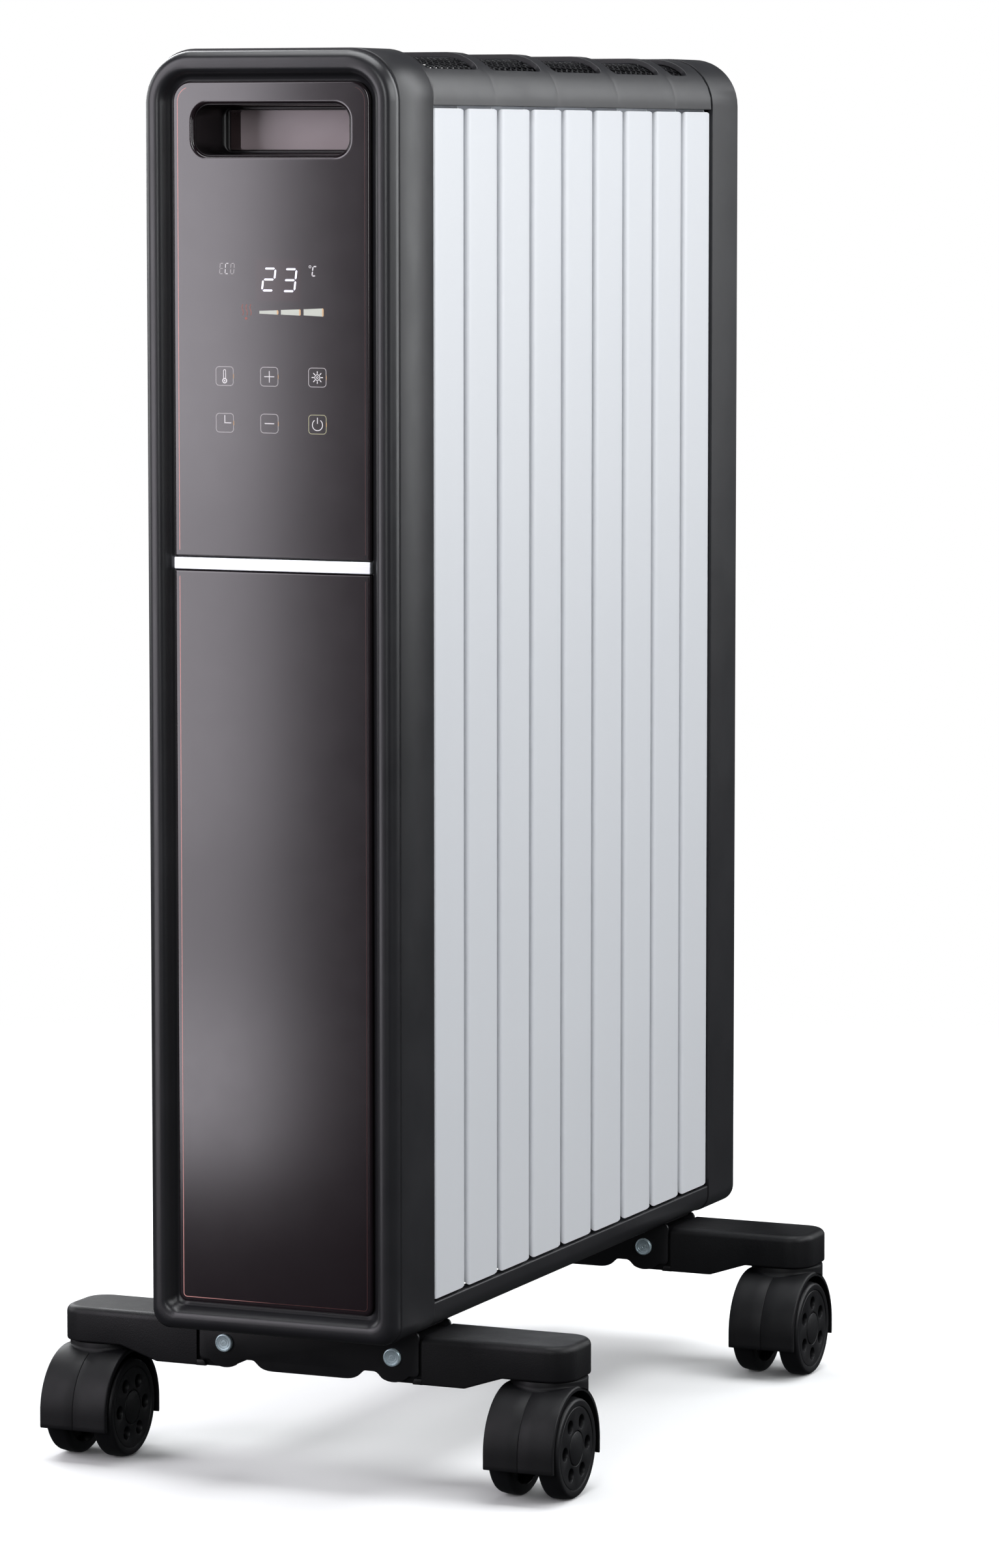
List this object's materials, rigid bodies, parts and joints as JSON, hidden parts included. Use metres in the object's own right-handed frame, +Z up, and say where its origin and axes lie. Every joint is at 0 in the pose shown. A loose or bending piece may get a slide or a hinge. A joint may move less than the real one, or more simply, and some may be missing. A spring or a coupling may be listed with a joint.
{
  "type": "oil filled radiator heater",
  "caption": "Column radiator with stacked steel fins, a flat glass-look control front, a vented top cover and fold-down feet on twin-wheel casters.",
  "frame": {"origin": "on the floor, under the centre of the heater's bounding box", "axes": "+Z up, the control front faces -Y, the fins stack along Y, +X to the right of a person facing the controls"},
  "size_m": [0.252, 0.404, 0.631],
  "materials": {
    "black_plastic": "satin",
    "panel_gloss": "gloss",
    "pocket_gloss": "gloss",
    "trim_silver": "satin",
    "bare_steel": "satin",
    "element_sheath": "matte",
    "zinc": "satin",
    "dark_screw": "satin",
    "circuit_board": "satin",
    "component_block": "satin",
    "display_block": "satin",
    "fin_white": "satin gloss",
    "mesh_black": "matte",
    "bracket_black": "satin",
    "foot_black": "matte",
    "wheel_black": "matte"
  },
  "bodies": {
    "radiator": {"board_carrier": "black_plastic", "collector_plugs": "bare_steel", "control_panel": "panel_gloss", "cord_gland": "black_plastic", "cover_screws": "dark_screw", "display_board": "circuit_board", "display_module": "display_block", "fin_1": "fin_white", "fin_2": "fin_white", "fin_3": "fin_white", "fin_4": "fin_white", "fin_5": "fin_white", "fin_6": "fin_white", "fin_7": "fin_white", "fin_8": "fin_white", "fin_9": "fin_white", "foot_bracket_front": "bracket_black", "foot_bracket_rear": "bracket_black", "foot_u_bolts": "zinc", "front_bezel": "black_plastic", "front_housing": "black_plastic", "handle_back": "pocket_gloss", "handle_pocket": "black_plastic", "heat_shield": "bare_steel", "heating_element": "element_sheath", "lower_panel": "panel_gloss", "pivot_rivets": "zinc", "power_board": "circuit_board", "power_components": "component_block", "rear_cover": "black_plastic", "side_rail_left": "black_plastic", "side_rail_right": "black_plastic", "temperature_sensor": "component_block", "thermal_cutoffs": "bare_steel", "tip_over_switch": "component_block", "top_cover": "black_plastic", "touch_springs": "bare_steel", "trim_strip": "trim_silver", "vent_mesh": "mesh_black", "wing_nuts": "zinc"},
    "arm_front_right": {"foot_arm_front_right": "foot_black"},
    "caster_front_right": {"caster_hood_front_right": "foot_black", "caster_pins_front_right": "zinc"},
    "wheel_front_right_right": {"wheel_front_right_right": "wheel_black"},
    "wheel_front_right_left": {"wheel_front_right_left": "wheel_black"},
    "arm_front_left": {"foot_arm_front_left": "foot_black"},
    "caster_front_left": {"caster_hood_front_left": "foot_black", "caster_pins_front_left": "zinc"},
    "wheel_front_left_right": {"wheel_front_left_right": "wheel_black"},
    "wheel_front_left_left": {"wheel_front_left_left": "wheel_black"},
    "arm_rear_right": {"foot_arm_rear_right": "foot_black"},
    "caster_rear_right": {"caster_hood_rear_right": "foot_black", "caster_pins_rear_right": "zinc"},
    "wheel_rear_right_right": {"wheel_rear_right_right": "wheel_black"},
    "wheel_rear_right_left": {"wheel_rear_right_left": "wheel_black"},
    "arm_rear_left": {"foot_arm_rear_left": "foot_black"},
    "caster_rear_left": {"caster_hood_rear_left": "foot_black", "caster_pins_rear_left": "zinc"},
    "wheel_rear_left_right": {"wheel_rear_left_right": "wheel_black"},
    "wheel_rear_left_left": {"wheel_rear_left_left": "wheel_black"}
  },
  "joints": [
    {"name": "fold_front_right", "type": "hinge", "parent": "radiator", "child": "arm_front_right", "pos_m": [0.0412, -0.1462, 0.0579], "axis": [0, 1, 0], "range_deg": [0, 60]},
    {"name": "swivel_front_right", "type": "hinge", "parent": "arm_front_right", "child": "caster_front_right", "pos_m": [0.1088, -0.1462, 0.05], "axis": [0, 0, 1], "continuous": true},
    {"name": "roll_front_right_right", "type": "hinge", "parent": "caster_front_right", "child": "wheel_front_right_right", "pos_m": [0.1207, -0.1548, 0.0225], "axis": [1, 0, 0], "continuous": true},
    {"name": "roll_front_right_left", "type": "hinge", "parent": "caster_front_right", "child": "wheel_front_right_left", "pos_m": [0.0969, -0.1548, 0.0225], "axis": [1, 0, 0], "continuous": true},
    {"name": "fold_front_left", "type": "hinge", "parent": "radiator", "child": "arm_front_left", "pos_m": [-0.0412, -0.1462, 0.0579], "axis": [0, -1, 0], "range_deg": [0, 60]},
    {"name": "swivel_front_left", "type": "hinge", "parent": "arm_front_left", "child": "caster_front_left", "pos_m": [-0.1088, -0.1462, 0.05], "axis": [0, 0, 1], "continuous": true},
    {"name": "roll_front_left_right", "type": "hinge", "parent": "caster_front_left", "child": "wheel_front_left_right", "pos_m": [-0.0969, -0.1548, 0.0225], "axis": [1, 0, 0], "continuous": true},
    {"name": "roll_front_left_left", "type": "hinge", "parent": "caster_front_left", "child": "wheel_front_left_left", "pos_m": [-0.1207, -0.1548, 0.0225], "axis": [1, 0, 0], "continuous": true},
    {"name": "fold_rear_right", "type": "hinge", "parent": "radiator", "child": "arm_rear_right", "pos_m": [0.0412, 0.1471, 0.0579], "axis": [0, 1, 0], "range_deg": [0, 60]},
    {"name": "swivel_rear_right", "type": "hinge", "parent": "arm_rear_right", "child": "caster_rear_right", "pos_m": [0.1088, 0.1471, 0.05], "axis": [0, 0, 1], "continuous": true},
    {"name": "roll_rear_right_right", "type": "hinge", "parent": "caster_rear_right", "child": "wheel_rear_right_right", "pos_m": [0.1207, 0.1385, 0.0225], "axis": [1, 0, 0], "continuous": true},
    {"name": "roll_rear_right_left", "type": "hinge", "parent": "caster_rear_right", "child": "wheel_rear_right_left", "pos_m": [0.0969, 0.1385, 0.0225], "axis": [1, 0, 0], "continuous": true},
    {"name": "fold_rear_left", "type": "hinge", "parent": "radiator", "child": "arm_rear_left", "pos_m": [-0.0412, 0.1471, 0.0579], "axis": [0, -1, 0], "range_deg": [0, 60]},
    {"name": "swivel_rear_left", "type": "hinge", "parent": "arm_rear_left", "child": "caster_rear_left", "pos_m": [-0.1088, 0.1471, 0.05], "axis": [0, 0, 1], "continuous": true},
    {"name": "roll_rear_left_right", "type": "hinge", "parent": "caster_rear_left", "child": "wheel_rear_left_right", "pos_m": [-0.0969, 0.1385, 0.0225], "axis": [1, 0, 0], "continuous": true},
    {"name": "roll_rear_left_left", "type": "hinge", "parent": "caster_rear_left", "child": "wheel_rear_left_left", "pos_m": [-0.1207, 0.1385, 0.0225], "axis": [1, 0, 0], "continuous": true}
  ]
}
